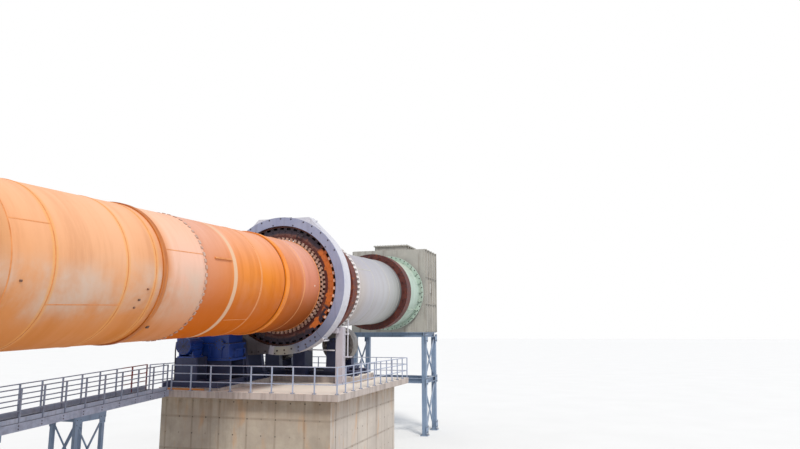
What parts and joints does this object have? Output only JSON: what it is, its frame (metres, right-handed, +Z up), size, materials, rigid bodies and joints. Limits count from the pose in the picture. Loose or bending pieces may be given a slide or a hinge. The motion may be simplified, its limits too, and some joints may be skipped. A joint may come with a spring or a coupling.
{
  "type": "rotary kiln, 1:2 scale model",
  "caption": "Two-support rotary kiln with girth-gear drive, gear guard, tyres on rollers, concrete piers, walkway, discharge hood and feed chamber, as a 1:2 scale model.",
  "frame": {"origin": "on the ground below the kiln axis, in the middle of the drive pier", "axes": "+X uphill along the kiln towards the feed end, +Y towards the drive and walkway, +Z up"},
  "size_m": [27.0066, 4.17, 6.3317],
  "materials": {
    "shell_peach": "matte weathered paint",
    "shell_orange": "matte weathered paint",
    "shell_seat": "matte",
    "shell_pale": "matte",
    "ring_orange": "satin",
    "cast_dark": "rough",
    "lining": "rough",
    "tyre_steel": "worn oxide",
    "saddle": "matte",
    "gear_steel": "oiled",
    "gear_orange": "matte",
    "roller_steel": "rolled bright",
    "machine_steel": "satin",
    "concrete": "rough",
    "base_navy": "satin",
    "bed_grey": "satin",
    "guard_grey": "satin",
    "guard_light": "satin",
    "drive_blue": "gloss",
    "rail_grey": "satin",
    "grating": "matte",
    "frame_blue": "satin",
    "hood_grey": "matte",
    "seal_red": "matte",
    "chamber_green": "matte"
  },
  "bodies": {
    "station": {"pier_1": "concrete", "pier_2": "concrete", "pier_decks": "concrete", "roller_bases": "base_navy", "roller_bearings": "base_navy", "thrust_bearing": "base_navy", "guard_face": "guard_grey", "guard_rim": "guard_light", "pinion_guard": "guard_grey", "guard_supports": "guard_grey", "drive_bed": "bed_grey", "pinion_bearings": "base_navy", "gearbox": "drive_blue", "motor": "drive_blue", "pier_railings": "rail_grey", "walkway": "grating", "walkway_railing": "rail_grey", "walkway_trestles": "frame_blue", "hood_kiln_wall": "hood_grey", "hood_walls": "hood_grey", "hood_burner_wall": "hood_grey", "hood_seal": "seal_red", "hood_frame": "frame_blue", "feed_chamber": "chamber_green", "feed_front_wall": "hood_grey", "feed_walls": "hood_grey", "feed_back_wall": "hood_grey", "feed_frame": "frame_blue"},
    "kiln": {"shell_discharge": "shell_peach", "shell_middle": "shell_peach", "shell_upper": "shell_orange", "shell_gear_seat": "shell_seat", "shell_feed": "shell_pale", "stiffening_rings": "ring_orange", "nose_ring": "cast_dark", "refractory_lining": "lining", "feed_seal_ring": "seal_red", "tyre_1": "tyre_steel", "tyre_2": "tyre_steel", "tyre_saddles": "saddle", "girth_gear": "gear_steel", "gear_web": "gear_orange", "gear_springs": "saddle"},
    "roller_1_left": {"roller_1_left": "roller_steel"},
    "roller_1_right": {"roller_1_right": "roller_steel"},
    "roller_2_left": {"roller_2_left": "roller_steel"},
    "roller_2_right": {"roller_2_right": "roller_steel"},
    "pinion": {"pinion": "gear_steel", "pinion_shaft": "machine_steel"},
    "thrust_roller": {"thrust_roller": "roller_steel"}
  },
  "joints": [
    {"name": "kiln_spin", "type": "hinge", "parent": "station", "child": "kiln", "pos_m": [0, 0, 4.4], "axis": [0.9994, 0, 0.035], "continuous": true},
    {"name": "roller_1_left_spin", "type": "hinge", "parent": "station", "child": "roller_1_left", "pos_m": [-12.19433, 0.79515, 2.59511], "axis": [0.9994, 0, 0.035], "continuous": true},
    {"name": "roller_1_right_spin", "type": "hinge", "parent": "station", "child": "roller_1_right", "pos_m": [-12.19433, -0.79515, 2.59511], "axis": [0.9994, 0, 0.035], "continuous": true},
    {"name": "roller_2_left_spin", "type": "hinge", "parent": "station", "child": "roller_2_left", "pos_m": [0.89765, 0.79515, 3.05333], "axis": [0.9994, 0, 0.035], "continuous": true},
    {"name": "roller_2_right_spin", "type": "hinge", "parent": "station", "child": "roller_2_right", "pos_m": [0.89765, -0.79515, 3.05333], "axis": [0.9994, 0, 0.035], "continuous": true},
    {"name": "pinion_spin", "type": "hinge", "parent": "station", "child": "pinion", "pos_m": [-0.53081, 0.87757, 3.12735], "axis": [0.9994, 0, 0.035], "continuous": true},
    {"name": "thrust_roller_spin", "type": "hinge", "parent": "station", "child": "thrust_roller", "pos_m": [0.69927, 0, 4.42448], "axis": [0.1219, 0, 0.9925], "continuous": true}
  ],
  "couplings": [
    {"joint": "roller_1_left_spin", "follows": "kiln_spin", "ratio": -2.975},
    {"joint": "roller_1_right_spin", "follows": "kiln_spin", "ratio": -2.975},
    {"joint": "roller_2_left_spin", "follows": "kiln_spin", "ratio": -2.975},
    {"joint": "roller_2_right_spin", "follows": "kiln_spin", "ratio": -2.975},
    {"joint": "pinion_spin", "follows": "kiln_spin", "ratio": -8},
    {"joint": "thrust_roller_spin", "follows": "kiln_spin", "ratio": 6.3889}
  ]
}
